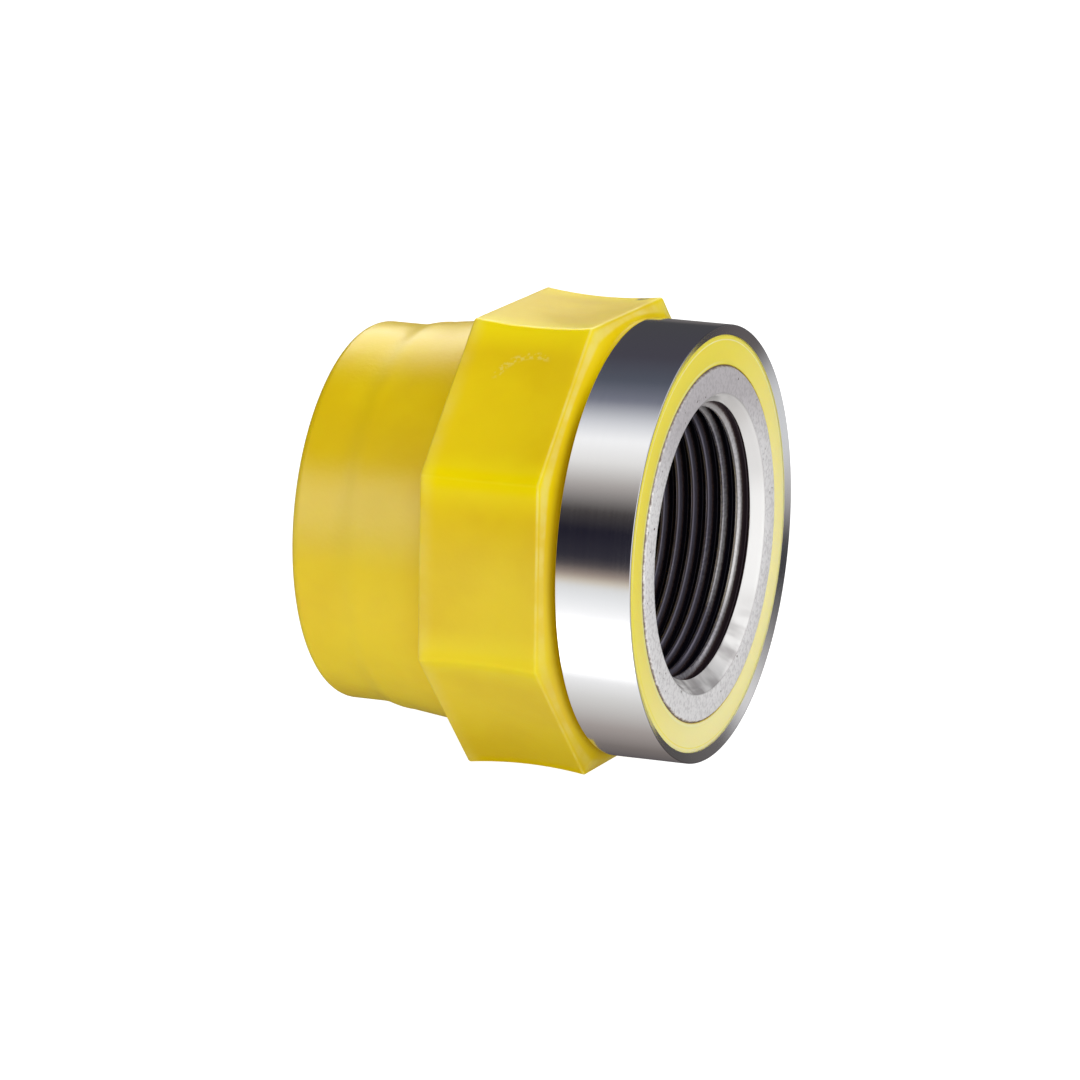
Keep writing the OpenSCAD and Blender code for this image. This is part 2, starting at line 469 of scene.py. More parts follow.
@dataclass(frozen=True)
class MouldedPolyethylene(Finish):
    """Yellow polyethylene as it leaves the mould: satin, slightly see-through and never quite even.

    Pale lines along the grip's edges are painted highlights, broken by wear, and the machined front is paler
    than the moulded skin, with painted highlight lines at its rim and round the insert.
    Painted light and shade lie over the skin: glow at the corners, bounce light low down, sheen on the
    socket, and shade underneath and deepest beside the ring.
    """

    name: ClassVar[str] = "moulded_polyethylene"
    grip_back_x: float
    grip_front_x: float
    chamfer: float
    flat: float
    ring_back_x: float
    face_x: float
    face_inner: float
    face_edge: float
    deep: Colour = (0.77, 0.535, 0.0)
    bright: Colour = (0.84, 0.62, 0.002)
    painted_corner_light: Colour = (0.94, 0.76, 0.0)
    pale: Colour = (0.90, 0.80, 0.30)
    cut: Colour = (0.87, 0.735, 0.095)
    cut_painted_light: Colour = (0.92, 0.83, 0.38)
    painted_rim_highlight: Colour = (0.95, 0.92, 0.55)
    painted_rim_shade: Colour = (0.88, 0.74, 0.04)
    seam: Colour = (0.60, 0.38, 0.03)
    speck: Colour = (0.10, 0.08, 0.04)
    shade: Colour = (0.38, 0.235, 0.0)
    front_line: EdgeLine = EdgeLine(0.37, 0.4, 0.62)
    chamfer_line: EdgeLine = EdgeLine(0.0, 0.26, 0.6)
    rim_line: EdgeLine = EdgeLine(0.0, 0.12, 0.6)
    inner_line: EdgeLine = EdgeLine(0.4, 0.24, 0.4)
    seam_line: EdgeLine = EdgeLine(0.0, 0.16, 0.8)
    edge_highlight_height: Span = (-12.0, 4.0)
    painted_back_glow: Span = (2.6, 0.2)
    painted_glow_reach: Span = (6.0, 0.3)
    painted_glow_height: Span = (-22.0, -8.0)
    painted_bounce_height: tuple[Span, Span] = ((10.0, -2.0), (-31.0, -20.0))
    painted_bounce_share: float = 0.1
    painted_underside_shade: Span = (-18.0, -33.0)
    ring_shade: Span = (-1.45, -0.3)
    ring_shade_height: Span = (28.0, 18.0)
    painted_sheen_height: tuple[Span, Span] = ((-3.0, 4.0), (14.0, 7.0))
    painted_sheen_side: Span = (-14.0, -22.0)
    scuff_centre: Triple = (-17.8, -20.35, 24.83)
    scuff_radius: float = 5.2
    scuff_half: float = 0.8
    scuff_x: Span = (-15.4, -16.6)
    scuff_height: Span = (25.0, 26.0)
    mark_x: float = -13.3
    mark_half: float = 1.1
    mark_turn: float = math.radians(69.6)
    mark_half_turn: float = 0.038
    dull_corner: Span = (2.2, 0.9)
    dull_height: Span = (24.0, 20.0)
    mottle_per_metre: float = 70
    wear_per_metre: float = 250
    dots_per_metre: float = 1500
    speck_per_metre: float = 900
    gloss_per_metre: float = 180
    peel_per_metre: float = 1500
    peel_depth: float = 0.026
    gloss: Span = (0.29, 0.36)
    specular: float = 0.1
    specular_loss: float = 0.9
    refraction: float = 1.51
    see_through: float = 0.35
    see_through_colour: Colour = (1.0, 0.75, 0.12)
    see_through_depth: float = 1.6

    def near_corner(self) -> Socket:
        """Measures along a flat of the grip.

        Returns:
            The distance to its nearest corner.
        """
        turn = self.calc("PINGPONG", self.around, FLAT_TURN / 2)
        reach = self.calc("SUBTRACT", math.tan(FLAT_TURN / 2), self.calc("TANGENT", turn))
        return self.times(reach, self.flat)

    def glow(self, on_grip: Socket) -> Socket:
        """Finds the corners between the flats, where painted light stands for light coming through, more so
        high up.
        """
        near = self.fade(self.near_corner(), self.painted_glow_reach, (0.0, 0.75))
        return self.times(near, on_grip, self.fade(self.height, self.painted_glow_height, (0.1, 1.0)))

    def painted_socket_sheen(self) -> Socket:
        """Finds the band along the near side of the socket that gets a painted sheen.

        Returns:
            How much of it shows.
        """
        behind_grip = self.fade(self.x, (0.0, -0.5), edge=self.grip_back_x)
        side = self.fade(self.across(1.0, 0.0), self.painted_sheen_side, (0.0, 0.2))
        return self.times(self.window(self.height, *self.painted_sheen_height), behind_grip, side)

    def painted_edge_highlights_and_wear(self) -> Socket:
        """Finds the pale lines along the front and back edges of the grip's flats: painted highlights,
        stronger high up and broken by wear.

        Returns:
            How much of them shows.
        """
        before = self.edge_line(self.x, self.grip_front_x, self.front_line)
        behind = self.edge_line(self.x, self.grip_front_x - self.chamfer, self.chamfer_line)
        upper = self.fade(self.height, self.edge_highlight_height, (0.55, 1.0))
        front = self.times(self.calc("MAXIMUM", before, behind), upper)
        on_flat = self.fade(self.x, (-0.05, 0.1), edge=self.grip_back_x)
        back = self.times(self.fade(self.x, self.painted_back_glow, (0.0, 0.24), self.grip_back_x), on_flat)
        outside = self.fade(self.radius, (-1.6, -1.0), edge=self.flat)
        wear = self.fade(self.noise(self.wear_per_metre, 3.0), (0.35, 0.65), (0.3, 0.75))
        return self.times(self.calc("MAXIMUM", front, back), outside, wear)

    def scuff(self) -> Socket:
        """Finds the faint curved row of dots on the upper front flat.

        Returns:
            How much of it shows.
        """
        curve = self.line(self.away_from(self.scuff_centre), self.scuff_radius, self.scuff_half)
        dots = self.fade(self.noise(self.dots_per_metre, 1.0), (0.45, 0.62), (0.0, 0.3))
        ends = self.fade(self.x, self.scuff_x), self.fade(self.height, self.scuff_height)
        return self.times(curve, dots, *ends)

    def mark(self) -> Socket:
        """Finds the dark speck at the far edge of the top flat.

        Returns:
            How much of it shows.
        """
        along = self.line(self.x, self.mark_x, self.mark_half)
        around = self.line(self.around, self.mark_turn, self.mark_half_turn)
        ragged = self.fade(self.noise(self.speck_per_metre, 1.0), (0.35, 0.6), (0.2, 1.0))
        return self.times(along, around, ragged)

    def machined_front(self, skin: Socket) -> Socket:
        """Lays the paler machined front over the skin, painted lighter towards one side, with a painted
        highlight line at its rim, darker low down, and two lines round the insert: a painted highlight on
        the near side and a dark seam.

        Args:
            skin: Colour of the moulded skin.

        Returns:
            The colour of the whole body.
        """
        on_cut = self.fade(self.x, (-0.6, -0.3), edge=self.face_x)
        # painted light: the cut face is paler towards the lower, +Y side
        cut = self.blend(self.fade(self.across(0.6, -0.8), (-24.0, 26.0)), self.cut, self.cut_painted_light)
        rim = self.edge_line(self.radius, self.face_edge, self.rim_line)
        # painted highlight along the rim, turning to painted shade low down
        rim_colour = self.blend(self.fade(self.height, (4.0, -6.0)), self.painted_rim_highlight, self.painted_rim_shade)
        inner = self.edge_line(self.radius, self.face_inner, self.inner_line)
        # painted highlight round the insert on the near side only
        near_side = self.fade(self.across(1.0, 0.0), (6.0, -4.0))
        seam = self.edge_line(self.radius, self.face_inner, self.seam_line)
        return self.layers(
            skin,
            (on_cut, cut),
            (self.times(rim, on_cut), rim_colour),
            (self.times(inner, on_cut, near_side), self.painted_rim_highlight),
            (self.times(seam, on_cut), self.seam),
        )

    def shine(self, on_grip: Socket, beside_ring: Socket) -> Socket:
        """Lowers the specular level beside the ring and along the lower corners.

        Args:
            on_grip: 1 on the grip.
            beside_ring: 1 beside the ring.

        Returns:
            The specular level.
        """
        low = self.fade(self.height, self.dull_height, (0.0, 0.85))
        dull = self.times(self.fade(self.near_corner(), self.dull_corner), on_grip, low)
        loss = self.specular_loss * self.specular
        shine = self.calc("MULTIPLY_ADD", beside_ring, -loss, self.specular)
        return self.times(shine, self.calc("SUBTRACT", 1.0, dull))

    def build(self) -> bpy.types.Material:
        """Wires up the material.

        Returns:
            The finished material.
        """
        back_x, front_x = self.grip_back_x, self.grip_front_x
        on_grip = self.window(self.x, (back_x, back_x + 1.0), (front_x + 1.4, front_x))
        beside_ring = self.fade(self.x, self.ring_shade, edge=self.ring_back_x)
        low = self.fade(self.height, self.ring_shade_height, (0.2, 1.0))
        mottle = self.fade(self.noise(self.mottle_per_metre, 3.0), (0.3, 0.7))
        # painted light: a pale band round the body below the axis, standing for light thrown up from the
        # white table
        painted_bounce = self.times(self.window(self.height, *self.painted_bounce_height), self.painted_bounce_share)
        skin = self.layers(
            self.blend(mottle, self.deep, self.bright),
            # painted light: saturated yellow at the grip's corners, as if light came through them
            (self.glow(on_grip), self.painted_corner_light),
            (painted_bounce, self.pale),
            # painted shade: the skin turns darker towards the bottom
            (self.fade(self.height, self.painted_underside_shade, (0.0, 0.42)), self.shade),
            # painted sheen along the near side of the socket
            (self.painted_socket_sheen(), self.pale),
            # painted highlights and wear along the grip's edges
            (self.painted_edge_highlights_and_wear(), self.pale),
            (self.scuff(), self.pale),
            (self.mark(), self.speck),
            # painted shade: deepest beside the ring, weaker high up
            (self.times(beside_ring, low), self.shade),
        )
        self.set(
            Base_Color=self.machined_front(skin),
            Roughness=self.fade(self.noise(self.gloss_per_metre, 4.0), (0.3, 0.7), self.gloss),
            IOR=self.refraction,
            Specular_IOR_Level=self.shine(on_grip, beside_ring),
            Subsurface_Weight=self.see_through,
            Subsurface_Radius=self.see_through_colour,
            Subsurface_Scale=self.see_through_depth * MM,
        )
        self.bump(self.noise(self.peel_per_metre), self.peel_depth)
        return self.material


@dataclass(frozen=True)
class PolishedSteel(Finish):
    """Stainless steel turned and polished round the ring, with faint rubbing marks.

    The rim is painted darker than the outside on its near side, as painted shade for the dark studio that it
    faces.
    """

    name: ClassVar[str] = "polished_steel"
    colour: Colour = (0.86, 0.86, 0.87)
    rim: Colour = (0.22, 0.21, 0.20)
    rim_facing: Span = (0.3, 0.8)
    near_side: Span = (8.0, -12.0)
    rim_shade_share: float = 0.6
    rubbing_per_metre: float = 60
    rubbing_stretch: Triple = (60, 1, 1)
    rubbing_depth: float = 0.001
    gloss: Span = (0.09, 0.14)

    def build(self) -> bpy.types.Material:
        """Wires up the material.

        Returns:
            The finished material.
        """
        # painted shade on the near side of the rim
        rim = self.fade(self.facing, self.rim_facing)
        near_side = self.fade(self.across(1.0, 0.0), self.near_side, (0.0, self.rim_shade_share))
        rubbing = self.noise(self.rubbing_per_metre, 4.0, self.rubbing_stretch)
        self.set(
            Base_Color=self.blend(self.times(rim, near_side), self.colour, self.rim),
            Metallic=1.0,
            Roughness=self.fade(rubbing, (0.3, 0.75), self.gloss),
        )
        self.bump(rubbing, self.rubbing_depth)
        return self.material


@dataclass(frozen=True)
class PlatedInsert(Finish):
    """Nickel plate on turned brass: grained face with painted shade high up, bright countersink with painted
    reflections, and a thread dark with oil and painted shade.
    """

    name: ClassVar[str] = "plated_insert"
    face_inner: float
    face_outer: float
    crest: float
    flare: float
    flare_end_x: float
    face: Colour = (0.97, 0.96, 0.96)
    face_painted_shade: Colour = (0.66, 0.63, 0.65)
    cone: Colour = (0.95, 0.94, 0.93)
    crest_painted_light: Colour = (0.78, 0.76, 0.76)
    crest_painted_shade: Colour = (0.13, 0.12, 0.16)
    streak: Colour = (0.45, 0.43, 0.43)
    sand: Colour = (0.36, 0.34, 0.35)
    rust: Colour = (0.10, 0.06, 0.05)
    root: Colour = (0.014, 0.012, 0.024)
    first_root: Colour = (0.06, 0.04, 0.05)
    burr: Colour = (0.20, 0.15, 0.13)
    groove_below: Span = (0.1, 1.35)
    far_flank: Span = (-0.2, -0.6)
    dark_x: Span = (-0.3, -6.5)
    dark_low: Span = (-9.0, -16.0)
    dark_high: tuple[Span, Span] = ((-6.0, 8.0), (17.0, 12.0))
    first_turn: Span = (-2.2, -0.8)
    face_shade: Span = (9.0, 21.0)
    painted_streaks_low: Span = (-9.0, -18.0)
    painted_streak_high: tuple[Span, Span] = ((2.0, 8.0), (18.0, 13.0))
    lip_half: Span = (0.16, 0.04)
    burr_edge: Span = (-0.12, 0.2)
    burr_wander: float = 0.55
    burr_per_metre: float = 1500
    crest_per_metre: float = 2300
    groove_per_metre: float = 2500
    sand_per_metre: float = 1900
    pits_per_metre: float = 1300
    grain_per_metre: float = 2600
    grain_depth: float = 0.06
    streaks_per_turn: float = 28
    streaks_per_mm: float = 0.12

    def groove(self) -> Socket:
        """Finds the thread's grooves, with the flanks that face away from the mouth.

        Returns:
            0 on a crest and 1 in a groove.
        """
        cone = self.calc("MULTIPLY_ADD", self.x, self.flare / self.flare_end_x, self.crest)
        below = self.calc("SUBTRACT", self.radius, self.calc("MAXIMUM", cone, self.crest))
        ragged = self.calc("MULTIPLY_ADD", self.noise(self.groove_per_metre), 0.3, -0.15)
        deep = self.fade(self.calc("ADD", below, ragged), self.groove_below)
        away = self.times(self.fade(self.facing, self.far_flank), self.fade(below, (0.02, 0.1)))
        behind_mouth = self.fade(self.x, (0.0, -0.2), edge=self.flare_end_x)
        return self.times(self.calc("MAXIMUM", deep, away), behind_mouth)

    def painted_crest_darkening(self) -> Socket:
        """Finds where crests get painted shade for the dark inside that they mirror: further in, low down
        and half-way up.

        Returns:
            How dark they are, from 0 to 1.
        """
        high = self.window(self.height, *self.dark_high)
        dark = self.calc("MULTIPLY_ADD", high, 0.4, self.fade(self.x, self.dark_x))
        dark = self.calc("ADD", dark, self.fade(self.height, self.dark_low, (0.0, 0.6)))
        speckle = self.fade(self.noise(self.crest_per_metre), (0.35, 0.68), (-0.05, 0.15))
        dark = self.calc("ADD", dark, speckle)
        return self.calc("MAXIMUM", self.calc("MINIMUM", dark, 1.0), 0.0)

    def blasted_face(self) -> Socket:
        """Lays sand and a few pits over the grained face, which has painted shade high up.

        Returns:
            Its colour.
        """
        return self.layers(
            self.blend(self.fade(self.height, self.face_shade), self.face, self.face_painted_shade),
            (self.fade(self.noise(self.sand_per_metre), (0.42, 0.66), (0.0, 0.32)), self.sand),
            (self.fade(self.noise(self.pits_per_metre, 1.0), (0.73, 0.78)), self.rust),
        )

    def countersink(self) -> Socket:
        """Lays painted reflections of streaks over the countersink, low down and high up.

        Returns:
            Its colour.
        """
        low = self.fade(self.height, self.painted_streaks_low, (0.0, 0.9))
        streaks = self.fade(self.streaks(self.streaks_per_turn, self.streaks_per_mm), (0.42, 0.62))
        upper = self.window(self.height, *self.painted_streak_high)
        shares = self.times(streaks, low), self.times(upper, 0.3)
        return self.layers(self.cone, *((share, self.streak) for share in shares))

    def build(self) -> bpy.types.Material:
        """Wires up the material.

        Returns:
            The finished material.
        """
        radius, groove = self.radius, self.groove()
        on_face = self.fade(radius, (-0.05, 0.05), edge=self.face_inner)
        inside = self.fade(self.x, (0.1, -0.1))
        lip = self.calc("ABSOLUTE", self.calc("SUBTRACT", radius, self.face_inner + 0.02))
        wander = self.times(self.noise(self.burr_per_metre, 3.0), self.burr_wander)
        on_burr = self.fade(self.calc("ADD", radius, wander), self.burr_edge, edge=self.face_outer)
        root = self.blend(self.fade(self.x, self.first_turn), self.root, self.first_root)
        colour = self.layers(
            self.countersink(),
            (on_face, self.blasted_face()),
            (self.fade(lip, self.lip_half, (0.0, 0.45)), self.streak),
            # painted light and shade on the crests: lit near the mouth, painted shade further in, low down
            # and half-way up
            (inside, self.blend(self.painted_crest_darkening(), self.crest_painted_light, self.crest_painted_shade)),
            # rust, then a root colour that is partly dark oil and partly painted shade; flanks that face
            # away from the mouth get it as painted shade
            (self.fade(groove, (0.1, 0.65)), self.rust),
            (self.fade(groove, (0.35, 0.9)), root),
            (on_burr, self.burr),
        )
        self.set(
            Base_Color=colour,
            Metallic=self.calc("MULTIPLY_ADD", inside, 0.2, 0.35),
            Roughness=self.calc("MULTIPLY_ADD", on_face, 0.26, 0.22),
        )
        rough = self.calc("MULTIPLY_ADD", on_face, 0.85, 0.08)
        self.bump(self.noise(self.grain_per_metre, 3.0), self.grain_depth, rough)
        return self.material


@dataclass(frozen=True)
class InsertShape:
    """Sizes of the threaded insert, and the outline that the plastic takes round it."""

    mouth_x: float
    back_x: float
    bore: float
    wall: float = 6.2
    edge: float = 0.35
    countersink_flare: float = 1.75
    mouth_edge: float = 0.4
    groove_count: int = 2
    groove_width: float = 2.4
    groove_depth: float = 1.2
    groove_pitch: float = 4.6
    flange_length: float = 8.0
    flange_rise: float = 1.9
    notch_count: int = 24
    notch_depth: float = 0.9
    pitch: float = 25.4 / 11
    thread_depth: float = 0.6403 * 25.4 / 11
    start_turn: float = 0.476
    steepness: float = 1.3
    crest_share: float = 0.17
    smoothing: float = 0.45
    trim: float = 0.03
    weld: float = 0.0005
    points_per_turn: int = 192
    points_per_pitch: int = 20

    @property
    def outside(self) -> float:
        """Radius of the plain outside."""
        return self.bore + self.wall

    @property
    def cone_top_x(self) -> float:
        """Where the countersink ends at the small bevel of the mouth."""
        return self.mouth_x - self.mouth_edge

    @property
    def cone_top(self) -> float:
        """Radius of the countersink there."""
        return self.bore + self.countersink_flare

    def flange(self, angle: float) -> float:
        """Gives the radius of the notched flange at an angle."""
        bump = math.cos(angle * self.notch_count)
        return self.outside + self.flange_rise - self.notch_depth * max(0.0, bump) ** 3

    def outer_stations(self) -> list[Station]:
        """Lists the outside from the front to the back, without the front bevel.

        Returns:
            Its stations.
        """
        stations = []
        for groove in range(1, self.groove_count + 1):
            middle = self.mouth_x - groove * self.groove_pitch
            floor = self.outside - self.groove_depth
            for x, radius in (
                (middle + self.groove_width / 2, self.outside),
                (middle + self.groove_width / 2, floor),
                (middle - self.groove_width / 2, floor),
                (middle - self.groove_width / 2, self.outside),
            ):
                stations.append(ring_of(x, radius))
        front = self.back_x + self.flange_length
        stations.append(ring_of(front, self.outside))
        stations.append(Station(front, self.flange))
        stations.append(Station(self.back_x, self.flange))
        return stations

    def thread_radius(self, x: float, angle: float) -> float:
        """Gives the radius of the tapped bore and its countersink.

        Args:
            x: Place along the pipe axis.
            angle: Angle round it.

        Returns:
            The radius, in millimetres.
        """
        phase = (x / self.pitch - angle / (2 * math.pi) + self.start_turn) % 1.0
        flank = 1.0 - abs(2.0 * phase - 1.0)
        sharp = min(1.0, max(0.0, self.steepness * flank - self.crest_share))
        smooth = sharp * sharp * (3 - 2 * sharp)
        form = sharp + (smooth - sharp) * self.smoothing
        run_out = min(1.0, max(0.0, (x - self.back_x) / self.pitch))
        threaded = self.bore + self.thread_depth * form * run_out
        cone = self.bore + self.countersink_flare * x / self.cone_top_x
        return max(threaded, cone)

    def tapped_bore(self) -> bmesh.types.BMesh:
        """Winds the thread up the bore, and trims it square at both ends.

        Returns:
            The wall of the bore, open at its two ends.
        """
        mesh = bmesh.new()
        start = self.back_x - 2 * self.pitch
        turns = math.ceil((self.cone_top_x - start) / self.pitch) + 1
        step = self.pitch / self.points_per_pitch
        places = (start + step * n for n in range(self.points_per_pitch + 1))
        strip = [mesh.verts.new(axis_point(x, self.bore, 0.0)) for x in places]
        edges = [mesh.edges.new(pair) for pair in zip(strip, strip[1:])]
        bmesh.ops.spin(
            mesh,
            geom=strip + edges,
            cent=(0, 0, 0),
            axis=(1, 0, 0),
            dvec=(self.pitch * MM / self.points_per_turn, 0, 0),
            angle=2 * math.pi,
            steps=self.points_per_turn,
            use_merge=False,
        )
        one_turn = list(mesh.verts) + list(mesh.edges) + list(mesh.faces)
        for turn in range(1, turns):
            copy = bmesh.ops.duplicate(mesh, geom=one_turn)["geom"]
            verts = [part for part in copy if isinstance(part, bmesh.types.BMVert)]
            bmesh.ops.translate(mesh, verts=verts, vec=(turn * self.pitch * MM, 0, 0))
        for vert in mesh.verts:
            x = vert.co.x / MM
            if x > self.cone_top_x - self.trim:
                x = self.cone_top_x
            elif x < self.back_x + self.trim:
                x = self.back_x
            angle = math.atan2(vert.co.z, vert.co.y)
            vert.co = axis_point(x, self.thread_radius(x, angle), angle)
        bmesh.ops.remove_doubles(mesh, verts=mesh.verts, dist=self.weld * MM)
        return mesh


@dataclass(frozen=True)
class ThreadedInsert:
    """The metal insert with its real thread."""

    shape: InsertShape
    softening: float = 0.06
    least_turn: float = 32.0
    slack: float = 0.001

    def build(self) -> bpy.types.Object:
        """Grows the insert from its tapped bore, round the face and back to the bore's far end.

        Returns:
            The finished piece.
        """
        shape = self.shape
        mesh = shape.tapped_bore()
        front_x = shape.cone_top_x - self.slack
        front = [
            edge
            for edge in mesh.edges
            if edge.is_boundary and all(vert.co.x > front_x * MM for vert in edge.verts)
        ]
        skin = RingSkin(mesh, front)
        skin.grow(
            [
                ring_of(shape.mouth_x, shape.cone_top + shape.mouth_edge),
                ring_of(shape.mouth_x, shape.outside - shape.edge),
                ring_of(shape.mouth_x - shape.edge, shape.outside),
                *shape.outer_stations(),
                Station(shape.back_x, lambda angle: shape.thread_radius(shape.back_x, angle)),
            ]
        )
        skin.close()
        soften_edges(mesh, self.softening, self.least_turn)
        finish = PlatedInsert(
            face_inner=shape.cone_top + shape.mouth_edge,
            face_outer=shape.outside,
            crest=shape.bore,
            flare=shape.countersink_flare,
            flare_end_x=shape.cone_top_x,
        )
        return finish_piece(Piece.INSERT, mesh, finish.build())


@dataclass
class ClampRing:
    """The polished steel ring round the collar. Its rim falls inwards to the plastic face."""

    inside: float = 29.976
    front_round: float = 0.16
    back_edge: float = 0.2
    rim_fall: float = 0.5
    support_rings: Span = (0.05, 0.12)
    round_steps: int = 5
    points_round: int = 256

    def section(self, low: Vector, high: Vector) -> list[tuple[float, float]]:
        """Gives the ring's section.

        Args:
            low: Lowest corner of the CAD ring, in metres.
            high: Its highest corner.

        Returns:
            Points of the section, each a place along the axis and a radius, in millimetres.
        """
        back, front, outside = low.x / MM, high.x / MM, high.z / MM
        points = [(back, self.inside), (back, outside - self.back_edge), (back + self.back_edge, outside)]
        for step in range(self.round_steps + 1):
            turn = math.pi / 2 * (1 - step / self.round_steps)
            points.append(
                (
                    front + self.front_round * (math.cos(turn) - 1),
                    outside + self.front_round * (math.sin(turn) - 1),
                )
            )
        slope = self.rim_fall / (outside - self.front_round - self.inside)
        for inwards in self.support_rings:
            points.append((front - slope * inwards, outside - self.front_round - inwards))
        return points + [(front - self.rim_fall, self.inside)]

    def build(self) -> bpy.types.Object:
        """Spins the section once round the pipe axis.

        Returns:
            The finished piece.
        """
        mesh = bmesh.new()
        section = self.section(*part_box(Piece.RING.node))
        corners = [mesh.verts.new(axis_point(x, radius, 0.0)) for x, radius in section]
        edges = [mesh.edges.new((corner, corners[n - 1])) for n, corner in enumerate(corners)]
        bmesh.ops.spin(
            mesh,
            geom=corners + edges,
            cent=(0, 0, 0),
            axis=(1, 0, 0),
            angle=2 * math.pi,
            steps=self.points_round,
            use_merge=True,
        )
        bmesh.ops.remove_doubles(mesh, verts=mesh.verts, dist=WELD_MM * MM)
        return finish_piece(Piece.RING, mesh, PolishedSteel().build())


@dataclass
class MouldedBody:
    """The plastic moulding: socket, octagonal grip, neck and front collar."""

    insert: InsertShape
    face_x: float
    ring_back_x: float
    end_x: float
    collar: float = 29.976
    ring_wall: float = 1.5
    ring_relief: float = 0.2
    rim_width: float = 0.7
    rim_fall: float = 0.12
    neck_length: float = 2.15
    neck_land: float = 0.5
    neck_drop: float = 0.3
    neck_steps: int = 7
    neck_curve: float = 1.7
    flat: float = 32.426
    grip_length: float = 18.1
    dish: float = 0.6
    dish_steps: int = 16
    front_edge: float = 0.2
    back_edge: float = 0.25
    corner_round: float = 1.0
    socket: float = 19.7
    socket_depth: float = 20.5
    lead_in: float = 1.0
    band: float = 27.4
    mouth_round: float = 1.6
    band_length: float = 6.4
    step_length: float = 5.0
    step_rise: float = 0.75
    shank_flare: float = 1.35
    waterway: float = 16.3
    points_per_flat: int = 16
    points_per_corner: int = 6
    softening: float = 0.14
    rings_of_band: int = 4
    mouth_steps: int = 8
    step_steps: int = 5
    shank_steps: int = 4

    @property
    def ring_outside(self) -> float:
        """Radius of the outside of the clamp ring."""
        return self.collar + self.ring_wall

    @property
    def neck(self) -> float:
        """Radius of the neck behind the clamp ring."""
        return self.ring_outside - self.neck_drop

    @property
    def grip_front_x(self) -> float:
        """Front of the octagonal grip."""
        return self.ring_back_x - self.neck_length

    @property
    def grip_back_x(self) -> float:
        """Back of the octagonal grip."""
        return self.grip_front_x - self.grip_length

    def angles(self) -> list[float]:
        """Spreads a ring's points, closer together at the octagon's corners.

        Returns:
            The angle of each point.
        """
        corner = self.corner_round * math.tan(FLAT_TURN / 2) / self.flat
        half_corner = self.points_per_corner // 2
        angles = []
        for flat in range(FLAT_COUNT):
            start = (flat - 0.5) * FLAT_TURN
            angles += [start + corner * n / half_corner for n in range(-half_corner, half_corner)]
            span = FLAT_TURN - 2 * corner
            steps = range(self.points_per_flat)
            angles += [start + corner + span * n / self.points_per_flat for n in steps]
        return angles

    def octagon(self, apothem: float) -> Radius:
        """Gives the outline of the grip at an apothem."""
        return Octagon(apothem, self.corner_round).radius

    def dished_flat(self, x: float) -> float:
        """Measures the dished flats.

        Args:
            x: Place along the pipe axis.

        Returns:
            Their apothem there.
        """
        half = self.grip_length / 2
        bend = (half**2 + self.dish**2) / (2 * self.dish)
        off = x - (self.grip_front_x - half)
        return self.flat - self.dish + bend - math.sqrt(bend**2 - off**2)

    def socket_outside(self) -> list[Station]:
        """Lists the socket, from its mouth to the back of the grip.

        Returns:
            Its stations.
        """
        band, rounding = self.band, self.mouth_round
        step_x = self.end_x + self.band_length
        shank_x = step_x + self.step_length
        bend = (self.step_length**2 + self.step_rise**2) / (4 * self.step_rise)
        swing = math.degrees(math.asin(self.step_length / 2 / bend))
        shank = band + self.step_rise
        stations = arc((self.end_x + rounding, band - rounding), rounding, 180, 90, self.mouth_steps)
        stations += [
            ring_of(stations[-1].x + (step_x - stations[-1].x) * n / self.rings_of_band, band)
            for n in range(1, self.rings_of_band)
        ]
        stations += arc((step_x, band + bend), bend, -90, swing - 90, self.step_steps)
        stations += arc((shank_x, shank - bend), bend, 90 + swing, 90, self.step_steps)[1:]
        for n in range(1, self.shank_steps + 1):
            share = n / self.shank_steps
            x = shank_x + (self.grip_back_x - shank_x) * share
            stations.append(ring_of(x, shank + self.shank_flare * share))
        return stations

    def grip(self) -> list[Station]:
        """Lists the octagonal grip, from its back to its front.

        Returns:
            Its stations.
        """
        first = self.grip_back_x + self.back_edge
        last = self.grip_front_x - self.front_edge
        stations = [Station(self.grip_back_x, self.octagon(self.flat - self.back_edge))]
        for n in range(self.dish_steps + 1):
            x = first + (last - first) * n / self.dish_steps
            stations.append(Station(x, self.octagon(self.dished_flat(x))))
        stations.append(Station(self.grip_front_x, self.octagon(self.flat - self.front_edge)))
        return stations

    def neck_loft(self) -> list[Station]:
        """Draws the neck in from the octagon to the circle, in a shallow cove.

        Returns:
            Its stations.
        """
        start_x = self.grip_front_x
        land_x = self.ring_back_x - self.neck_land
        eight = self.octagon(self.flat - self.front_edge)
        stations = []
        for n in range(1, self.neck_steps + 1):
            share = n / self.neck_steps
            drawn = 1 - (1 - share) ** self.neck_curve
            stations.append(
                Station(
                    start_x + (land_x - start_x) * share,
                    lambda angle, drawn=drawn: eight(angle) + (self.neck - eight(angle)) * drawn,
                )
            )
        return stations

    def front(self) -> list[Station]:
        """Lists the collar under the ring, the front face and the hollow of the insert.

        Returns:
            Their stations.
        """
        return [
            ring_of(self.ring_back_x - self.ring_relief, self.neck),
            ring_of(self.ring_back_x, self.neck - self.ring_relief),
            ring_of(self.ring_back_x, self.collar),
            ring_of(self.face_x - self.rim_fall, self.collar),
            ring_of(self.face_x, self.collar - self.rim_width),
            ring_of(self.face_x, self.insert.outside),
            *self.insert.outer_stations(),
        ]

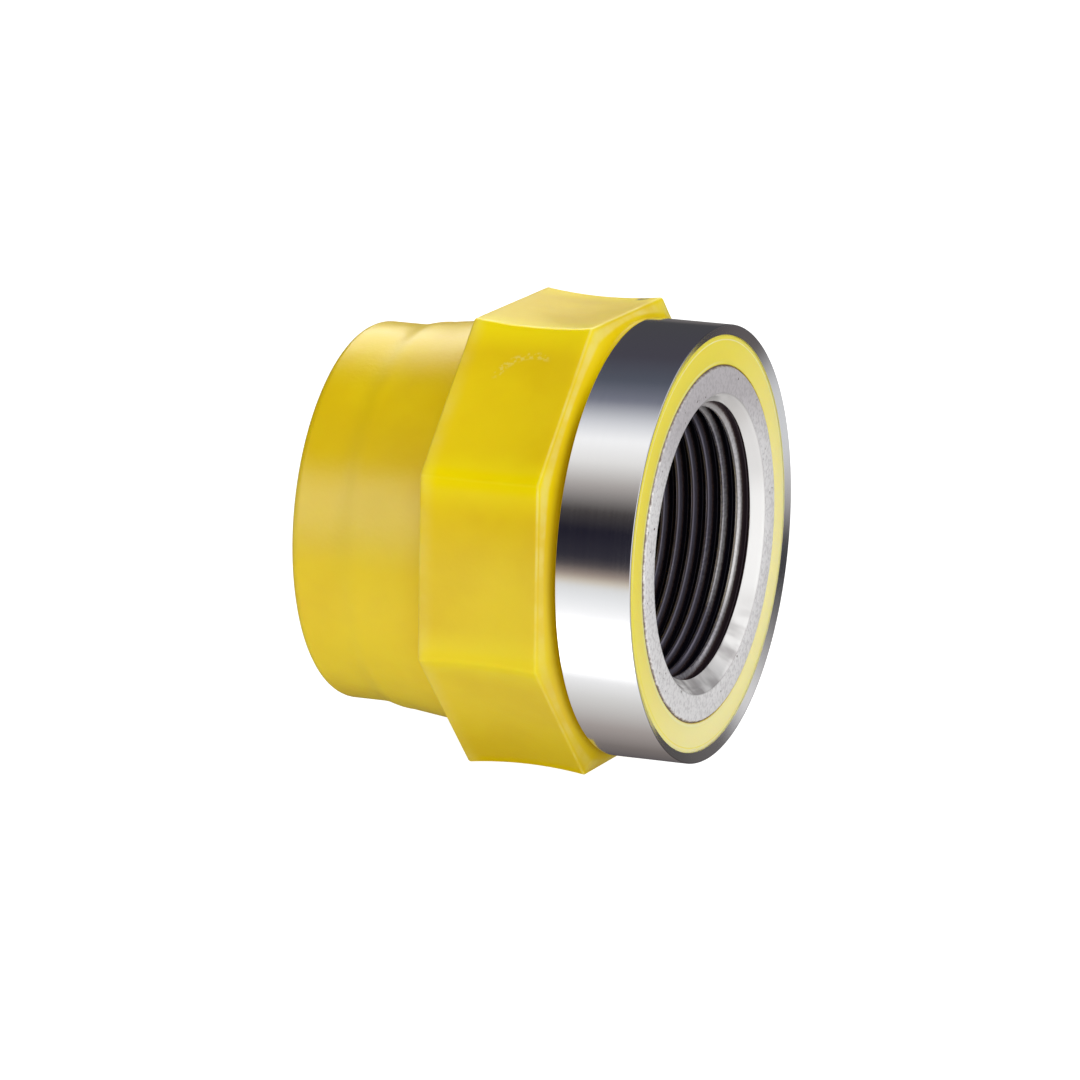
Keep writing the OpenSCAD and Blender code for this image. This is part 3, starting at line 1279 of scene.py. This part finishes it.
    def inside(self) -> list[Station]:
        """Lists the waterway, the pipe stop and the socket's bore.

        Returns:
            Their stations.
        """
        stop_x = self.end_x + self.socket_depth
        return [
            ring_of(self.insert.back_x, self.waterway),
            ring_of(stop_x, self.waterway),
            ring_of(stop_x, self.socket),
            ring_of(self.end_x + self.lead_in, self.socket),
            ring_of(self.end_x, self.socket + self.lead_in),
        ]

    def build(self) -> bpy.types.Object:
        """Grows the whole moulding as one closed skin.

        Returns:
            The finished piece.
        """
        first = ring_of(self.end_x, self.socket + self.lead_in)
        skin = RingSkin.from_angles(self.angles(), first)
        skin.grow([*self.socket_outside(), *self.grip(), *self.neck_loft(), *self.front(), *self.inside()])
        skin.close()
        soften_edges(skin.mesh, self.softening)
        finish = MouldedPolyethylene(
            grip_back_x=self.grip_back_x,
            grip_front_x=self.grip_front_x,
            chamfer=self.front_edge,
            flat=self.flat,
            ring_back_x=self.ring_back_x,
            face_x=self.face_x,
            face_inner=self.insert.outside,
            face_edge=self.collar - self.rim_width,
        )
        return finish_piece(Piece.BODY, skin.mesh, finish.build())


@dataclass(frozen=True)
class PhotoCamera:
    """The long lens of the photograph, in pixels of its 1080 by 1080 frame."""

    azimuth: float = 22.38
    elevation: float = 12.48
    roll: float = -0.90
    focal_px: float = 8000
    frame_px: float = 1080
    across_px: float = 169.40
    down_px: float = 4.06
    px_per_mm: float = 7.016
    aim_x: float = 2.3
    sensor_mm: float = 36
    clip: Span = (0.01, 20.0)

    def build(self) -> None:
        """Makes the camera and gives it to the scene."""
        turns = (self.azimuth, self.elevation, self.roll)
        azimuth, elevation, roll = (math.radians(turn) for turn in turns)
        level = Vector((math.cos(azimuth), math.sin(azimuth), 0))
        back = Vector((level.y, -level.x, 0)) * math.cos(elevation)
        back.z = math.sin(elevation)
        upright = back.cross(level)
        right = level * math.cos(roll) - upright * math.sin(roll)
        up = level * math.sin(roll) + upright * math.cos(roll)
        place = (back * self.focal_px - right * self.across_px + up * self.down_px) / self.px_per_mm
        place.x += self.aim_x
        lens = bpy.data.cameras.new("photo_camera")
        lens.sensor_width = self.sensor_mm
        lens.lens = self.sensor_mm * self.focal_px / self.frame_px
        lens.clip_start, lens.clip_end = self.clip
        camera = bpy.data.objects.new("photo_camera", lens)
        turn = Matrix((right, up, back)).transposed().to_4x4()
        camera.matrix_world = Matrix.Translation(place * MM) @ turn
        bpy.context.scene.collection.objects.link(camera)
        bpy.context.scene.camera = camera


@dataclass(frozen=True)
class StudioDome(Wiring):
    """The softboxes, flags and white table round the object, as light that comes from far away.

    In the plane across the pipe axis, angles start at the horizon in front, on the -Y side, and rise to 90
    overhead and 180 behind. To the right of the object the light is even, and beyond it, towards +Y, it
    changes with the height above the horizon alone: that is what the front bevel and the rim mirror.
    A stop is an angle in degrees, and the red, green and blue of the light that comes from there.
    """

    in_front: tuple[Stop, ...] = (
        (-180, 0.17, 0.16, 0.16), (-171, 0.12, 0.11, 0.11), (-160, 0.09, 0.082, 0.088),
        (-130, 0.20, 0.175, 0.165), (-106, 0.40, 0.36, 0.34), (-82, 0.72, 0.71, 0.69),
        (-69, 0.95, 0.95, 0.95), (-64, 1.3, 1.3, 1.3), (-60, 2.4, 2.4, 2.4),
        (-37, 2.4, 2.4, 2.4), (-32, 1.15, 1.15, 1.15), (-22, 0.93, 0.94, 0.95),
        (-15, 0.80, 0.81, 0.81), (-12.3, 0.70, 0.62, 0.50), (-9, 0.35, 0.28, 0.24),
        (-4, 0.075, 0.066, 0.072), (0, 0.032, 0.030, 0.042), (14, 0.014, 0.013, 0.024),
        (24, 0.062, 0.055, 0.055), (38, 0.46, 0.43, 0.41), (50, 0.86, 0.85, 0.83),
        (62, 1.04, 1.04, 1.04), (72, 0.72, 0.73, 0.76), (86, 0.19, 0.20, 0.25),
        (100, 0.09, 0.10, 0.13), (120, 0.065, 0.062, 0.08), (168, 0.064, 0.064, 0.07),
        (174, 0.14, 0.13, 0.13), (180, 0.17, 0.16, 0.16),
    )
    behind: tuple[Stop, ...] = (
        (-50, 0.45, 0.45, 0.46), (-19, 0.70, 0.71, 0.72), (-12.5, 0.42, 0.40, 0.40),
        (-8, 0.05, 0.05, 0.055), (-4, 0.04, 0.04, 0.045), (1, 0.20, 0.19, 0.19),
        (5, 0.55, 0.54, 0.54), (8, 1.30, 1.29, 1.30), (40, 1.30, 1.29, 1.30),
    )
    behind_span: Span = (0.3, 0.42)
    right_light: Colour = (0.95, 0.95, 0.95)
    right_span: Span = (0.2, 0.5)
    right_lean: float = 0.35

    @cached_property
    def world(self) -> bpy.types.World:
        """The world, made when it is first asked for."""
        world = bpy.data.worlds.new("studio_dome")
        world.use_nodes = True
        world.node_tree.nodes.clear()
        return world

    @cached_property
    def tree(self) -> bpy.types.NodeTree:
        """The world's nodes."""
        return self.world.node_tree

    def ramp(self, angle: Socket, stops: Sequence[Stop]) -> Socket:
        """Turns an angle into the light that comes from there.

        Args:
            angle: The angle, in radians.
            stops: The stops of light, lowest angle first.

        Returns:
            The light.
        """
        share = self.add("MapRange", {"Value": angle, "From Min": -math.pi, "From Max": math.pi})
        node = self.add("ValToRGB", {"Fac": share.outputs["Result"]})
        elements = node.color_ramp.elements
        for index, (degrees, *light) in enumerate(stops):
            place = (degrees + 180) / 360
            element = elements[index] if index < 2 else elements.new(place)
            element.position = place
            element.color = (*light, 1.0)
        return node.outputs["Color"]

    def build(self) -> None:
        """Makes the world and gives it to the scene."""
        direction = self.add("TexCoord").outputs["Generated"]
        sides = self.add("SeparateXYZ", {"Vector": direction}).outputs
        front = self.times(sides["Y"], -1.0)
        across = self.ramp(self.calc("ARCTAN2", sides["Z"], front), self.in_front)
        behind = self.ramp(self.calc("ARCSINE", sides["Z"]), self.behind)
        right = self.blend(self.fade(sides["Y"], self.behind_span), self.right_light, behind)
        lean = self.calc("MULTIPLY_ADD", front, self.right_lean, sides["X"])
        light = self.blend(self.fade(lean, self.right_span), across, right)
        dome = self.add("Background", {"Color": light}).outputs["Background"]
        sweep = self.add("Background", {"Color": WHITE}).outputs["Background"]
        seen = self.add("LightPath").outputs["Is Camera Ray"]
        both = self.add("MixShader", {"Fac": seen, 1: dome, 2: sweep}).outputs["Shader"]
        self.add("OutputWorld", {"Surface": both})
        bpy.context.scene.world = self.world


@dataclass(frozen=True)
class SoftLamp:
    """A large soft lamp that aims at the middle of the object."""

    name: str
    place: Triple
    width: float
    power: float
    sheen_on: Piece | None = None
    height: float | None = None

    def build(self, aim: Vector, things: dict[Piece, bpy.types.Object]) -> None:
        """Makes the lamp. One that is there for the sheen on a piece lights nothing else.

        Args:
            aim: The point that it faces, in metres.
            things: The finished pieces.
        """
        data = bpy.data.lights.new(self.name, "AREA")
        data.shape = "DISK" if self.height is None else "RECTANGLE"
        data.size = self.width
        if self.height is not None:
            data.size_y = self.height
        data.energy = self.power
        lamp = bpy.data.objects.new(self.name, data)
        lamp.location = self.place
        lamp.rotation_euler = (aim - lamp.location).to_track_quat("-Z", "Y").to_euler()
        lamp.visible_glossy = self.sheen_on is not None
        lamp.visible_diffuse = self.sheen_on is None
        if self.sheen_on is not None:
            receivers = bpy.data.collections.new(f"{self.name}_receivers")
            receivers.objects.link(things[self.sheen_on])
            lamp.light_linking.receiver_collection = receivers
        bpy.context.scene.collection.objects.link(lamp)


@dataclass(frozen=True)
class WhiteTable(Finish):
    """The table's matt white, which glows so that the table is as white as the background."""

    name: ClassVar[str] = "white_table"
    grey: Colour = (0.3, 0.3, 0.3)
    roughness: float = 0.9
    glow: float = 1.0

    def build(self) -> bpy.types.Material:
        """Wires up the material."""
        self.set(Base_Color=self.grey, Roughness=self.roughness)
        self.set(Emission_Color=WHITE, Emission_Strength=self.glow)
        return self.material


@dataclass(frozen=True)
class Studio:
    """The white table and the lamps."""

    floor_z: float
    floor_half: float = 6.0
    lamps: tuple[SoftLamp, ...] = (
        SoftLamp("key_lamp", (-0.5, -0.9, 1.0), 0.8, 0.1),
        SoftLamp("front_lamp", (0.9, -1.0, 0.1), 0.9, 1.6),
        SoftLamp("low_lamp", (-0.3, -1.1, 0.0), 0.9, 2.4),
        SoftLamp("right_lamp", (1.2, -0.35, 0.15), 0.8, 2.6),
        SoftLamp("top_lamp", (0.0, 0.5, 1.1), 0.8, 5.0),
        SoftLamp("back_sheen", (-0.37, 0.66, 0.66), 0.75, 8.5, Piece.BODY),
        SoftLamp("side_sheen", (-0.6, -0.85, 0.27), 1.0, 12.0, Piece.BODY, 0.5),
    )

    def build(self, aim: Vector, things: dict[Piece, bpy.types.Object]) -> None:
        """Makes the floor and the lamps.

        Args:
            aim: The point that the lamps face, in metres.
            things: The finished pieces.
        """
        mesh = bmesh.new()
        bmesh.ops.create_grid(mesh, x_segments=1, y_segments=1, size=self.floor_half)
        bmesh.ops.translate(mesh, verts=mesh.verts, vec=(0, 0, self.floor_z))
        data = bpy.data.meshes.new("white_table")
        mesh.to_mesh(data)
        mesh.free()
        data.materials.append(WhiteTable().build())
        floor = bpy.data.objects.new("white_table", data)
        bpy.context.scene.collection.objects.link(floor)
        floor.visible_glossy = False
        floor.visible_diffuse = False
        for lamp in self.lamps:
            lamp.build(aim, things)


def main() -> None:
    """Builds the adapter and its studio round the CAD frame."""
    logging.basicConfig(level=logging.INFO, format="%(name)s: %(message)s")
    bpy.context.scene.view_settings.view_transform = "Standard"
    body_low, body_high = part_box(Piece.BODY.node)
    ring_low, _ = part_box(Piece.RING.node)
    insert_low, insert_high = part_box(Piece.INSERT.node)
    thread = next(mount for mount in frame["record"]["mounts"] if mount["name"] == "female_thread")
    insert = InsertShape(insert_high.x / MM, insert_low.x / MM, thread["dims"]["r_mm"])
    things = {
        Piece.BODY: MouldedBody(insert, body_high.x / MM, ring_low.x / MM, body_low.x / MM).build(),
        Piece.RING: ClampRing().build(),
        Piece.INSERT: ThreadedInsert(insert).build(),
    }
    PhotoCamera().build()
    StudioDome().build()
    Studio(body_low.z).build((body_low + body_high) / 2, things)


if __name__ == "__main__":
    main()
